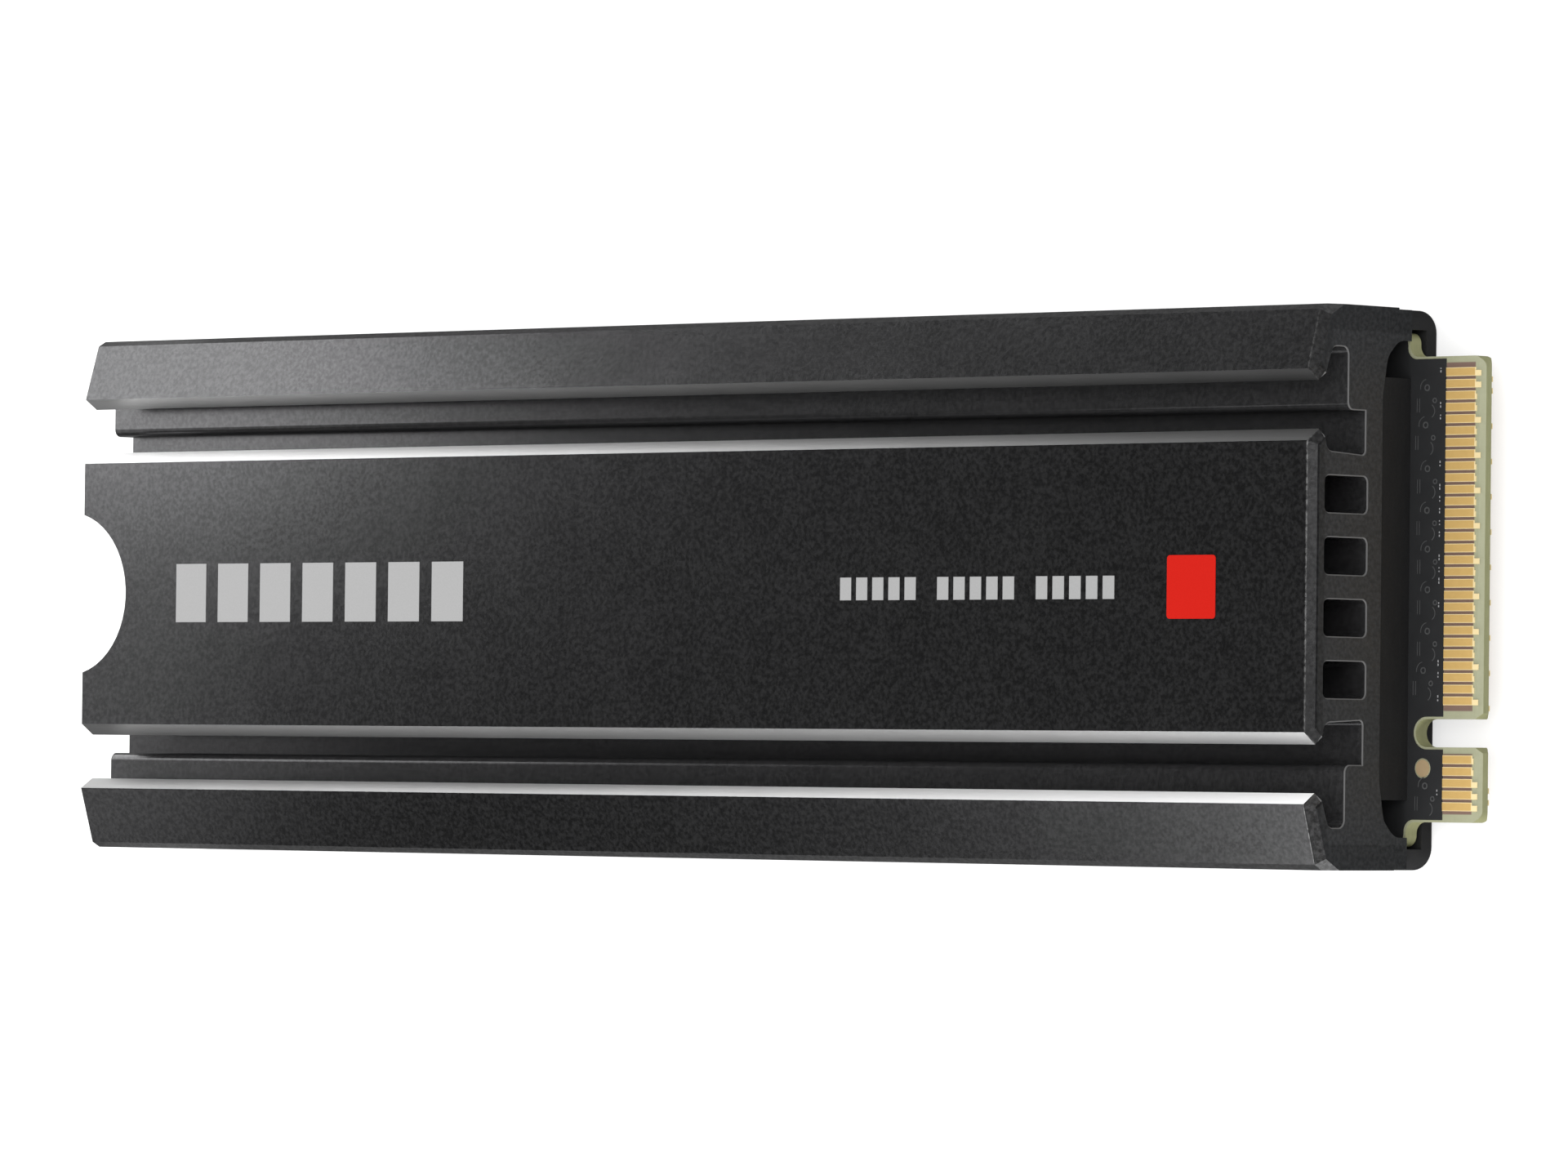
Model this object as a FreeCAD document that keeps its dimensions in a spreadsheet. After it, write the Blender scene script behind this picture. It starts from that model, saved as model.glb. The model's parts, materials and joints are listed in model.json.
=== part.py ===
import FreeCAD, Part

import math
import os

import Sketcher

# A slim solid state drive: a circuit board with an edge connector, its chips and small parts,
# a finned aluminium heatsink over the chips and a shallow cover under the board.
#
# Millimetres. X runs along the drive, +X towards the edge connector. Y runs across it.
# +Z is up, towards the heatsink's flat top. The origin is under the middle of the drive,
# on the cover's outer face. Both ends and both sides of the board stand equally far from it.

# The driving dimensions. Names that end in _x, _y and _z are places, measured from the origin.
SIZES = {
    # board, standard 22 by 80 format
    "connector_x": 40.0,
    "far_x": -40.0,
    "shoulder_x": 36.0,
    "board_half": 11.0,
    "tongue_half": 9.925,
    "laminate_low_z": 0.97,
    "laminate_thick": 0.76,
    "shoulder_round": 0.5,
    "tongue_round": 0.5,
    "bevel": 0.2,
    "key_y": -6.125,
    "key_half": 0.6,
    "key_root_x": 37.1,
    "key_mouth": 0.25,
    "screw_notch_radius": 1.75,
    "screw_ring_radius": 2.75,
    # solder mask films and bare metal on the board
    "mask_thick": 0.02,
    "mask_margin": 0.1,
    "mask_end_x": 38.0,
    "opening_margin": 0.06,
    "board_top_z": 1.75,
    "board_base_z": 0.95,
    "plating_low_z": 1.73,
    "probe_x": 36.91,
    "probe_y": -7.63,
    "probe_radius": 0.37,
    "marker_x": -35.6,
    "marker_y": 9.6,
    # edge contacts
    "contact_thick": 0.035,
    "contact_pitch": 0.5,
    "contact_width": 0.37,
    "contact_end_x": 39.6,
    "contact_stub_end_x": 39.88,
    "contact_nub_end_x": 39.66,
    "contact_stub_width": 0.24,
    "front_first_y": 9.25,
    "rear_first_y": 9.0,
    # heatsink ends
    "heatsink_near_x": 36.1,
    "heatsink_far_x": -39.4,
    "end_chamfer": 0.36,
    "edge_break": 0.05,
    "recess_radius": 3.85,
    "recess_round": 0.3,
    # heatsink section
    "seam_z": 1.75,
    "slot_ceiling_z": 3.68,
    "slot_flat_y": 8.2,
    "slot_taper_y": 9.9,
    "slot_taper_z": 3.35,
    "leg_inner_y": 10.6,
    "leg_curve_z": 2.6,
    "leg_foot_y": 11.93,
    "ledge_z": 2.61,
    "side_y": 12.0,
    "side_top_z": 7.05,
    "slope_foot_y": 11.76,
    "slope_foot_z": 7.5,
    "rail_crest_y": 9.2,
    "crest_z": 8.3,
    "rail_nose_y": 8.74,
    "rail_nose_z": 7.58,
    "groove_end_y": 10.19,
    "groove_end_z": 7.01,
    "shelf_z": 6.01,
    "riser_y": 7.52,
    "groove_floor_z": 4.82,
    "core_foot_y": 5.64,
    "core_neck_y": 5.76,
    "core_neck_z": 7.33,
    "lip_y": 6.68,
    "lip_z": 7.57,
    "flat_half": 6.17,
    "slot_round": 0.9,
    "groove_end_round": 0.34,
    "shelf_round": 0.35,
    "core_foot_round": 0.2,
    "core_neck_round": 0.42,
    # tunnels through the heatsink's core
    "tunnel_first_y": -3.93,
    "tunnel_pitch": 2.62,
    "tunnel_half": 0.785,
    "tunnel_low_z": 4.66,
    "tunnel_high_z": 7.48,
    "tunnel_round": 0.27,
    # snap tabs between the cover and the heatsink's legs
    "tab_first_x": -30.0,
    "tab_pitch": 20.0,
    "tab_length": 3.0,
    "tab_inner_y": 11.2,
    "tab_outer_y": 11.55,
    "tab_height": 0.75,
    "tab_clearance": 0.05,
    # cover under the board
    "cover_half": 12.0,
    "cover_floor": 0.75,
    "cover_wall_y": 11.1,
    "cover_near_round": 1.0,
    "cover_far_round": 0.3,
    "cover_edge": 0.1,
    "label_far_x": -27.0,
    "label_near_x": 27.0,
    "label_half": 8.0,
    "label_recess": 0.1,
    "label_thick": 0.08,
    "label_gap": 0.1,
    "label_round": 0.8,
    # thermal pads
    "pad_half": 9.0,
    "pad_far_x": -35.0,
    "pad_lip_x": 35.5,
    "pad_near_x": 36.08,
    "pad_ceiling_z": 3.68,
    "pad_slope_y": 8.05,
    "pad_slope_z": 3.5,
    "rear_pad_half": 10.0,
    "rear_pad_near_x": 35.9,
    # controller
    "controller_x": 17.4,
    "controller_length": 14.4,
    "controller_width": 13.4,
    "controller_base_thick": 0.35,
    "controller_lid_inset": 0.45,
    "controller_lid_z": 2.95,
    # memory
    "memory_x": 3.6,
    "memory_length": 10.0,
    "memory_width": 14.5,
    "memory_top_z": 2.85,
    # flash
    "near_flash_x": -10.4,
    "far_flash_x": -27.2,
    "flash_length": 13.6,
    "flash_width": 18.0,
    "flash_top_z": 3.05,
    # solder balls
    "ball_height": 0.22,
    "ball_radius": 0.22,
    "ball_pitch": 0.8,
    "flash_ball_pitch": 1.0,
    "pin_mark_radius": 0.4,
    "pin_mark_depth": 0.05,
    "pin_mark_inset": 1.1,
    # power parts
    "power_chip_x": 30.2,
    "power_chip_y": 4.4,
    "power_chip_side": 5.0,
    "power_chip_height": 0.8,
    "lead_thick": 0.05,
    "lead_width": 0.3,
    "lead_length": 0.5,
    "lead_pitch": 0.65,
    "inductor_x": 31.4,
    "inductor_first_y": -1.6,
    "inductor_pitch": 2.6,
    "inductor_length": 2.5,
    "inductor_width": 2.0,
    "inductor_height": 1.0,
    "inductor_end": 0.5,
    "regulator_x": 34.4,
    "regulator_first_y": 5.6,
    "regulator_pitch": 2.2,
    "regulator_side": 1.3,
    "regulator_height": 0.55,
    "crystal_x": 27.6,
    "crystal_y": 8.6,
    "crystal_length": 2.0,
    "crystal_width": 1.6,
    "crystal_base_thick": 0.3,
    "crystal_lid_inset": 0.12,
    "crystal_lid_thick": 0.25,
    "sensor_x": 26.2,
    "sensor_y": -8.4,
    "sensor_length": 1.2,
    "sensor_width": 0.8,
    "sensor_height": 0.5,
    # small two-ended parts, each named by its length along its own axis
    "bulk_length": 1.6,
    "bulk_width": 0.8,
    "bulk_height": 0.8,
    "bulk_end": 0.35,
    "bulk_x": 27.6,
    "bulk_first_y": -6.9,
    "bulk_pitch": 1.5,
    "ceramic_length": 1.0,
    "ceramic_width": 0.5,
    "ceramic_height": 0.5,
    "ceramic_end": 0.25,
    "ceramic_first_y": -7.0,
    "ceramic_pitch": 2.0,
    "controller_gap_x": 9.42,
    "memory_gap_x": -2.5,
    "flash_gap_near_x": -18.3,
    "flash_gap_far_x": -19.3,
    "resistor_length": 1.0,
    "resistor_width": 0.5,
    "resistor_height": 0.35,
    "resistor_end": 0.25,
    "coupling_length": 0.6,
    "coupling_width": 0.3,
    "coupling_height": 0.3,
    "coupling_end": 0.15,
    "coupling_x": 34.6,
    "coupling_first_y": -8.2,
    "coupling_pitch": 1.0,
    # printed marks on the heatsink's flat top
    "ink_thick": 0.02,
    "bar_first_x": -32.7,
    "bar_pitch": 2.8,
    "bar_length": 2.0,
    "bar_half": 1.365,
    "dash_first_x": 9.3,
    "dash_pitch": 0.95,
    "dash_length": 0.65,
    "dash_half": 0.5,
    "dash_gap": 0.95,
    "square_far_x": 28.1,
    "square_near_x": 30.8,
    "square_half": 1.36,
    "square_round": 0.16,
}

TUNNEL_COUNT = 4
TAB_COUNT = 4
FRONT_UPPER_CONTACTS = 29
FRONT_LOWER_CONTACTS = 5
REAR_UPPER_CONTACTS = 29
REAR_LOWER_CONTACTS = 4
# The lower group starts this many pitches after the upper group's first contact.
FRONT_LOWER_START = 33
REAR_LOWER_START = 33
STUBBED_UPPER = {1} | set(range(2, 30, 3))
STUBBED_LOWER = {3, 4, 5}
BAR_COUNT = 7
DASH_RUNS = 3
DASHES_PER_RUN = 5

ORIGIN_POINT = (-1, 1)
HORIZONTAL_AXIS = -1
VERTICAL_AXIS = -2
TINY = 1e-6
CLOSE = 0.01

doc = FreeCAD.newDocument("solid_state_drive")
sheet = doc.addObject("Spreadsheet::Sheet", "sizes")
for row, (alias, size) in enumerate(SIZES.items(), start=1):
    sheet.set(f"A{row}", alias)
    sheet.set(f"B{row}", str(size))
    sheet.setAlias(f"B{row}", alias)
doc.recompute()

nodes = []


def formula(text):
    """Turns a sum of size names into an expression that reads them from the sheet."""
    return " ".join(f"sizes.{word}" if word in SIZES else word for word in text.split())


def measure(text):
    """Adds up a sum such as "shoulder_x - mask_margin" with the sheet's own values."""
    total = 0.0
    sign = 1
    for word in text.split():
        if word in "+-":
            sign = 1 if word == "+" else -1
            continue
        total += sign * (getattr(sheet, word) if word in SIZES else float(word))
        sign = 1
    return total


def keep(item, label):
    """Marks a finished sub-part and gives it the name of its node."""
    item.Label = label
    nodes.append(item)
    return item


# ---------------------------------------------------------------- sketches and features


def new_body(label):
    return keep(doc.addObject("PartDesign::Body", label), label)


def new_sketch(body, name, plane, offset="0"):
    """A sketch on one of the body's own origin planes, lifted along the plane's normal."""
    sketch = body.newObject("Sketcher::SketchObject", name)
    support = next(item for item in body.Origin.OriginFeatures if item.Role == plane)
    sketch.AttachmentSupport = [(support, "")]
    sketch.MapMode = "FlatFace"
    sketch.setExpression("AttachmentOffset.Base.z", formula(offset))
    return sketch


def tie_point(sketch, curve, end, across, up):
    """Ties a point of a curve to the sheet, measured from the sketch's origin."""
    for kind, text, axis in (("DistanceX", across, VERTICAL_AXIS), ("DistanceY", up, HORIZONTAL_AXIS)):
        size = measure(text)
        if abs(size) < TINY:
            sketch.addConstraint(Sketcher.Constraint("PointOnObject", curve, end, axis))
        elif size > 0:
            index = sketch.addConstraint(Sketcher.Constraint(kind, *ORIGIN_POINT, curve, end, size))
            sketch.setExpression(f"Constraints[{index}]", formula(text))
        else:
            index = sketch.addConstraint(Sketcher.Constraint(kind, curve, end, *ORIGIN_POINT, -size))
            sketch.setExpression(f"Constraints[{index}]", f"-({formula(text)})")


def tie_radius(sketch, curve, text):
    index = sketch.addConstraint(Sketcher.Constraint("Radius", curve, measure(text)))
    sketch.setExpression(f"Constraints[{index}]", formula(text))


def draw_outline(sketch, corners):
    """A closed outline of straight lines with every corner tied to the sheet."""
    points = [FreeCAD.Vector(measure(across), measure(up), 0) for across, up in corners]
    first = sketch.GeometryCount
    count = len(points)
    for index in range(count):
        sketch.addGeometry(Part.LineSegment(points[index], points[(index + 1) % count]))
    for index in range(count):
        follower = first + (index + 1) % count
        sketch.addConstraint(Sketcher.Constraint("Coincident", first + index, 2, follower, 1))
    for index, (across, up) in enumerate(corners):
        tie_point(sketch, first + index, 1, across, up)


def draw_rectangle(sketch, low_x, high_x, low_y, high_y):
    draw_outline(sketch, [(low_x, low_y), (high_x, low_y), (high_x, high_y), (low_x, high_y)])


def draw_circle(sketch, across, up, radius):
    centre = FreeCAD.Vector(measure(across), measure(up), 0)
    curve = sketch.addGeometry(Part.Circle(centre, FreeCAD.Vector(0, 0, 1), measure(radius)))
    tie_point(sketch, curve, 3, across, up)
    tie_radius(sketch, curve, radius)


def pad(body, sketch, length, symmetric=False):
    feature = body.newObject("PartDesign::Pad", "pad")
    feature.Profile = sketch
    feature.setExpression("Length", formula(length))
    if symmetric:
        feature.SideType = "Symmetric"
    doc.recompute()
    return feature


def pocket(body, sketch, depth=None, upward=False, symmetric=False):
    """Cuts the sketch out of the body, right through it unless a depth is given."""
    before = body.Shape.Volume
    feature = body.newObject("PartDesign::Pocket", "pocket")
    feature.Profile = sketch
    feature.Reversed = upward
    if symmetric:
        feature.SideType = "Symmetric"
    if depth is None:
        feature.Type = "ThroughAll"
    else:
        feature.setExpression("Length", formula(depth))
    doc.recompute()
    if body.Shape.Volume > before - TINY:
        raise RuntimeError(f"{body.Label}: {sketch.Name} cuts nothing")
    return feature


def repeat(body, feature, direction, count, pitch):
    """Repeats a pad or pocket in a line, count times in all."""
    pattern = body.newObject("PartDesign::LinearPattern", "row")
    pattern.Originals = [feature]
    pattern.Direction = (feature.Profile[0], [direction])
    pattern.Mode = "Spacing"
    pattern.Occurrences = count
    pattern.setExpression("Offset", formula(pitch))
    body.Tip = pattern
    doc.recompute()
    return pattern


def edge_names(shape, wanted):
    return [f"Edge{index}" for index, edge in enumerate(shape.Edges, start=1) if wanted(edge)]


def dress(body, kind, size, wanted):
    """Rounds or chamfers the edges that the test picks from the body as it stands."""
    tip = body.Tip
    names = edge_names(tip.Shape, wanted)
    if not names:
        raise RuntimeError(f"{body.Label}: no edge found for {size}")
    feature = body.newObject(f"PartDesign::{kind}", kind.lower())
    feature.Base = (tip, names)
    feature.setExpression("Radius" if kind == "Fillet" else "Size", formula(size))
    body.Tip = feature
    doc.recompute()
    return feature


def spans(edge):
    """An edge's extent along X, Y and Z."""
    box = edge.BoundBox
    return box.XLength, box.YLength, box.ZLength


def runs_along_x(*places):
    """Picks the edges along X whose distance from the middle and height match a corner."""
    corners = [(abs(measure(across)), measure(up)) for across, up in places]

    def wanted(edge):
        along, across, up = spans(edge)
        if across > CLOSE or up > CLOSE or along < CLOSE:
            return False
        middle = edge.BoundBox.Center
        return any(
            abs(abs(middle.y) - corner_y) < CLOSE and abs(middle.z - corner_z) < CLOSE
            for corner_y, corner_z in corners
        )

    return wanted


def stands_at(*places):
    """Picks the upright edges at the given places, on both sides of the middle."""
    corners = [(measure(along), abs(measure(across))) for along, across in places]

    def wanted(edge):
        along, across, up = spans(edge)
        if along > CLOSE or across > CLOSE or up < CLOSE:
            return False
        middle = edge.BoundBox.Center
        return any(
            abs(middle.x - corner_x) < CLOSE and abs(abs(middle.y) - corner_y) < CLOSE
            for corner_x, corner_y in corners
        )

    return wanted


# ---------------------------------------------------------------- plain solids and groups


def block(name, middle_x, middle_y, low_z, length, width, height):
    """A box centred on its place, all of its sizes read from the sheet."""
    box = doc.addObject("Part::Box", name)
    box.setExpression("Length", formula(length))
    box.setExpression("Width", formula(width))
    box.setExpression("Height", formula(height))
    box.setExpression("Placement.Base.x", formula(f"{middle_x} - ( {length} ) / 2"))
    box.setExpression("Placement.Base.y", formula(f"{middle_y} - ( {width} ) / 2"))
    box.setExpression("Placement.Base.z", formula(low_z))
    return box


def disc(name, middle_x, middle_y, low_z, radius, height):
    """An upright cylinder, all of its sizes read from the sheet."""
    cylinder = doc.addObject("Part::Cylinder", name)
    cylinder.setExpression("Radius", formula(radius))
    cylinder.setExpression("Height", formula(height))
    cylinder.setExpression("Placement.Base.x", formula(middle_x))
    cylinder.setExpression("Placement.Base.y", formula(middle_y))
    cylinder.setExpression("Placement.Base.z", formula(low_z))
    return cylinder


def cut(name, base, tool):
    result = doc.addObject("Part::Cut", name)
    result.Base = base
    result.Tool = tool
    return result


def group(label, members):
    """Separate solids of one kind, kept as one sub-part."""
    result = doc.addObject("Part::Compound", label)
    result.Links = members
    return keep(result, label)


# ---------------------------------------------------------------- heatsink and cover


def cut_screw_recess(body):
    """The round cut-out at the far end that clears the retaining screw's head."""
    sketch = new_sketch(body, "screw_recess", "XY_Plane")
    end_x = sheet.heatsink_far_x
    centre_x = sheet.far_x
    radius = sheet.recess_radius
    corner = sheet.recess_round
    outside_x = centre_x - radius
    up = FreeCAD.Vector(0, 0, 1)

    corner_x = end_x + corner
    corner_y = math.sqrt((radius + corner) ** 2 - (corner_x - centre_x) ** 2)
    meet = math.atan2(corner_y, corner_x - centre_x)
    main = Part.Circle(FreeCAD.Vector(centre_x, 0, 0), up, radius)
    upper = Part.Circle(FreeCAD.Vector(corner_x, corner_y, 0), up, corner)
    lower = Part.Circle(FreeCAD.Vector(corner_x, -corner_y, 0), up, corner)

    main_arc = sketch.addGeometry(Part.ArcOfCircle(main, -meet, meet))
    upper_arc = sketch.addGeometry(Part.ArcOfCircle(upper, math.pi, math.pi + meet))
    lower_arc = sketch.addGeometry(Part.ArcOfCircle(lower, math.pi - meet, math.pi))
    points = [(end_x, corner_y), (outside_x, corner_y), (outside_x, -corner_y), (end_x, -corner_y)]
    vectors = [FreeCAD.Vector(x, y, 0) for x, y in points]
    lines = [sketch.addGeometry(Part.LineSegment(a, b)) for a, b in zip(vectors, vectors[1:])]

    tie_point(sketch, main_arc, 3, "far_x", "0")
    tie_radius(sketch, main_arc, "recess_radius")
    for arc in (upper_arc, lower_arc):
        tie_radius(sketch, arc, "recess_round")
    joined = [
        Sketcher.Constraint("Tangent", main_arc, 2, upper_arc, 2),
        Sketcher.Constraint("Tangent", main_arc, 1, lower_arc, 1),
        Sketcher.Constraint("Coincident", upper_arc, 1, lines[0], 1),
        Sketcher.Constraint("Coincident", lines[0], 2, lines[1], 1),
        Sketcher.Constraint("Coincident", lines[1], 2, lines[2], 1),
        Sketcher.Constraint("Coincident", lines[2], 2, lower_arc, 2),
        Sketcher.Constraint("Horizontal", lines[0]),
        Sketcher.Constraint("Vertical", lines[1]),
        Sketcher.Constraint("Horizontal", lines[2]),
    ]
    sketch.addConstraint(joined)
    for arc, line_end in ((upper_arc, (lines[0], 1)), (lower_arc, (lines[2], 2))):
        sketch.addConstraint(Sketcher.Constraint("Horizontal", *line_end, arc, 3))
        index = sketch.addConstraint(Sketcher.Constraint("DistanceX", *line_end, *ORIGIN_POINT, -end_x))
        sketch.setExpression(f"Constraints[{index}]", f"-({formula('heatsink_far_x')})")
    index = sketch.addConstraint(Sketcher.Constraint("DistanceX", lines[1], 1, main_arc, 3, radius))
    sketch.setExpression(f"Constraints[{index}]", formula("recess_radius"))
    pocket(body, sketch, upward=True)


def snap_row(body, side, make, low_z, grow):
    """A row of snap tabs, or of the pockets that take them, along one side of the drive."""
    sketch = new_sketch(body, "snaps", "XY_Plane", low_z)
    inner = f"{side} tab_inner_y {'-' if side == '+' else '+'} {grow}"
    outer = f"{side} tab_outer_y {side} {grow}"
    low_y, high_y = (inner, outer) if side == "+" else (outer, inner)
    draw_rectangle(sketch, f"tab_first_x - {grow}", f"tab_first_x + tab_length + {grow}", low_y, high_y)
    feature = make(sketch)
    repeat(body, feature, "H_Axis", TAB_COUNT, "tab_pitch")


def make_heatsink():
    body = new_body("top_heatsink")
    section = new_sketch(body, "half_section", "YZ_Plane", "heatsink_far_x")
    draw_outline(section, [
        ("0", "slot_ceiling_z"),
        ("slot_flat_y", "slot_ceiling_z"),
        ("slot_taper_y", "slot_taper_z"),
        ("leg_inner_y", "leg_curve_z"),
        ("leg_inner_y", "seam_z"),
        ("leg_foot_y", "seam_z"),
        ("leg_foot_y", "ledge_z"),
        ("side_y", "ledge_z"),
        ("side_y", "side_top_z"),
        ("slope_foot_y", "slope_foot_z"),
        ("rail_crest_y", "crest_z"),
        ("rail_nose_y", "rail_nose_z"),
        ("groove_end_y", "groove_end_z"),
        ("groove_end_y", "shelf_z"),
        ("riser_y", "shelf_z"),
        ("riser_y", "groove_floor_z"),
        ("core_foot_y", "groove_floor_z"),
        ("core_neck_y", "core_neck_z"),
        ("lip_y", "lip_z"),
        ("flat_half", "crest_z"),
        ("0", "crest_z"),
    ])
    half = pad(body, section, "heatsink_near_x - heatsink_far_x")
    mirror = body.newObject("PartDesign::Mirrored", "other_half")
    mirror.Originals = [half]
    plane = next(item for item in body.Origin.OriginFeatures if item.Role == "XZ_Plane")
    mirror.MirrorPlane = (plane, [""])
    body.Tip = mirror
    doc.recompute()

    dress(body, "Fillet", "slot_round", runs_along_x(
        ("slot_flat_y", "slot_ceiling_z"),
        ("slot_taper_y", "slot_taper_z"),
        ("leg_inner_y", "leg_curve_z"),
    ))
    dress(body, "Fillet", "groove_end_round", runs_along_x(
        ("groove_end_y", "groove_end_z"),
        ("groove_end_y", "shelf_z"),
    ))
    dress(body, "Fillet", "shelf_round", runs_along_x(("riser_y", "shelf_z")))
    dress(body, "Fillet", "core_foot_round", runs_along_x(("core_foot_y", "groove_floor_z")))
    dress(body, "Fillet", "core_neck_round", runs_along_x(("core_neck_y", "core_neck_z")))

    tunnel = new_sketch(body, "tunnel", "YZ_Plane", "heatsink_near_x")
    draw_rectangle(
        tunnel,
        "tunnel_first_y - tunnel_half",
        "tunnel_first_y + tunnel_half",
        "tunnel_low_z",
        "tunnel_high_z",
    )
    repeat(body, pocket(body, tunnel), "H_Axis", TUNNEL_COUNT, "tunnel_pitch")
    walls = [
        f"tunnel_first_y {way} tunnel_half" + " + tunnel_pitch" * step
        for step in range(TUNNEL_COUNT)
        for way in "+-"
    ]
    corners = [(wall, level) for wall in walls for level in ("tunnel_low_z", "tunnel_high_z")]
    dress(body, "Fillet", "tunnel_round", runs_along_x(*corners))

    crest = [
        ("side_y", "side_top_z"),
        ("slope_foot_y", "slope_foot_z"),
        ("rail_crest_y", "crest_z"),
        ("rail_nose_y", "rail_nose_z"),
        ("lip_y", "lip_z"),
        ("flat_half", "crest_z"),
    ]
    places = [(measure(across), measure(up)) for across, up in crest]

    def on_end(edge):
        return spans(edge)[0] < CLOSE and len(edge.Vertexes) == 2

    def on_crest(point):
        return any(
            abs(abs(point.y) - across) < CLOSE and abs(point.z - up) < CLOSE
            for across, up in places
        )

    def crest_edge(edge):
        return on_end(edge) and all(on_crest(vertex.Point) for vertex in edge.Vertexes)

    dress(body, "Chamfer", "end_chamfer", crest_edge)

    def mouth_edge(edge):
        """An edge of a groove or a tunnel where it opens in the near end face."""
        box = edge.BoundBox
        if box.XLength > CLOSE or abs(box.XMax - sheet.heatsink_near_x) > CLOSE:
            return False
        reach = max(abs(box.YMin), abs(box.YMax))
        return reach < sheet.groove_end_y + CLOSE and box.ZMin > sheet.slot_ceiling_z + CLOSE

    dress(body, "Chamfer", "edge_break", mouth_edge)

    cut_screw_recess(body)
    for side in "+-":
        snap_row(
            body,
            side,
            lambda sketch: pocket(body, sketch, "tab_height + tab_clearance", upward=True),
            "seam_z",
            "tab_clearance",
        )


def make_cover():
    body = new_body("rear_cover")
    plan = new_sketch(body, "plan", "XY_Plane")
    draw_rectangle(plan, "heatsink_far_x", "heatsink_near_x", "- cover_half", "cover_half")
    pad(body, plan, "seam_z")
    dress(body, "Fillet", "cover_near_round", stands_at(("heatsink_near_x", "cover_half")))
    dress(body, "Fillet", "cover_far_round", stands_at(("heatsink_far_x", "cover_half")))
    dress(body, "Fillet", "cover_edge", lambda edge: edge.BoundBox.ZMax < CLOSE)

    tray = new_sketch(body, "tray", "XY_Plane", "seam_z")
    draw_rectangle(
        tray,
        "heatsink_far_x - cover_edge",
        "heatsink_near_x + cover_edge",
        "- cover_wall_y",
        "cover_wall_y",
    )
    pocket(body, tray, "seam_z - cover_floor")

    recess = new_sketch(body, "label_recess", "XY_Plane")
    draw_rectangle(recess, "label_far_x", "label_near_x", "- label_half", "label_half")
    pocket(body, recess, "label_recess", upward=True)

    cut_screw_recess(body)
    for side in "+-":
        snap_row(body, side, lambda sketch: pad(body, sketch, "tab_height"), "seam_z", "0")


def make_label():
    body = new_body("rear_label")
    plan = new_sketch(body, "plan", "XY_Plane", "label_recess - label_thick")
    draw_rectangle(
        plan,
        "label_far_x + label_gap",
        "label_near_x - label_gap",
        "- label_half + label_gap",
        "label_half - label_gap",
    )
    pad(body, plan, "label_thick")
    dress(body, "Fillet", "label_round", lambda edge: spans(edge)[2] > CLOSE)


# ---------------------------------------------------------------- thermal pads


def make_thermal_pads():
    """The front pad is stepped underneath, so it rests on chips of different heights."""
    body = new_body("front_thermal_pad")
    section = new_sketch(body, "section", "XZ_Plane")
    controller_end = "controller_x + controller_length"
    draw_outline(section, [
        ("pad_far_x", "pad_ceiling_z"),
        ("pad_far_x", "flash_top_z"),
        ("memory_gap_x", "flash_top_z"),
        ("memory_gap_x", "memory_top_z"),
        ("controller_gap_x", "memory_top_z"),
        ("controller_gap_x", "controller_lid_z"),
        ("bulk_x - bulk_length", "controller_lid_z"),
        ("bulk_x - bulk_length", "memory_top_z"),
        ("pad_lip_x", "memory_top_z"),
        ("pad_lip_x", "board_top_z"),
        ("pad_near_x", "board_top_z"),
        ("pad_near_x", "pad_ceiling_z"),
    ])
    pad(body, section, "pad_half + pad_half", symmetric=True)
    slopes = new_sketch(body, "edge_slopes", "YZ_Plane")
    for side in ("", "- "):
        draw_outline(slopes, [
            (f"{side}pad_slope_y", "pad_ceiling_z"),
            (f"{side}pad_half", "pad_slope_z"),
            (f"{side}pad_half", "pad_ceiling_z"),
        ])
    pocket(body, slopes, symmetric=True)

    length = "rear_pad_near_x - pad_far_x"
    keep(
        block(
            "rear_pad",
            "( rear_pad_near_x + pad_far_x ) / 2",
            "0",
            "cover_floor",
            length,
            "rear_pad_half + rear_pad_half",
            "board_base_z - cover_floor",
        ),
        "rear_thermal_pad",
    )


# ---------------------------------------------------------------- board


def cut_key_notch(body, low_z, margin):
    """The round-ended notch in the edge connector, widened by a margin."""
    sketch = new_sketch(body, "key_notch", "XY_Plane", low_z)
    low_y = f"key_y - key_half - {margin}"
    high_y = f"key_y + key_half + {margin}"
    root = "key_root_x"
    mouth = "connector_x + key_half"
    corners = [(root, high_y), (mouth, high_y), (mouth, low_y), (root, low_y)]
    points = [FreeCAD.Vector(measure(along), measure(across), 0) for along, across in corners]
    lines = [sketch.addGeometry(Part.LineSegment(a, b)) for a, b in zip(points, points[1:])]
    centre = FreeCAD.Vector(measure(root), measure("key_y"), 0)
    radius = points[0].y - centre.y
    circle = Part.Circle(centre, FreeCAD.Vector(0, 0, 1), radius)
    arc = sketch.addGeometry(Part.ArcOfCircle(circle, math.pi / 2, 3 * math.pi / 2))
    for line, (along, across) in zip(lines, corners):
        tie_point(sketch, line, 1, along, across)
    tie_point(sketch, lines[2], 2, *corners[3])
    sketch.addConstraint([
        Sketcher.Constraint("Coincident", lines[0], 2, lines[1], 1),
        Sketcher.Constraint("Coincident", lines[1], 2, lines[2], 1),
        Sketcher.Constraint("Coincident", arc, 1, lines[0], 1),
        Sketcher.Constraint("Coincident", arc, 2, lines[2], 2),
        Sketcher.Constraint("Vertical", lines[0], 1, arc, 3),
    ])
    pocket(body, sketch, upward=True)


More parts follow.
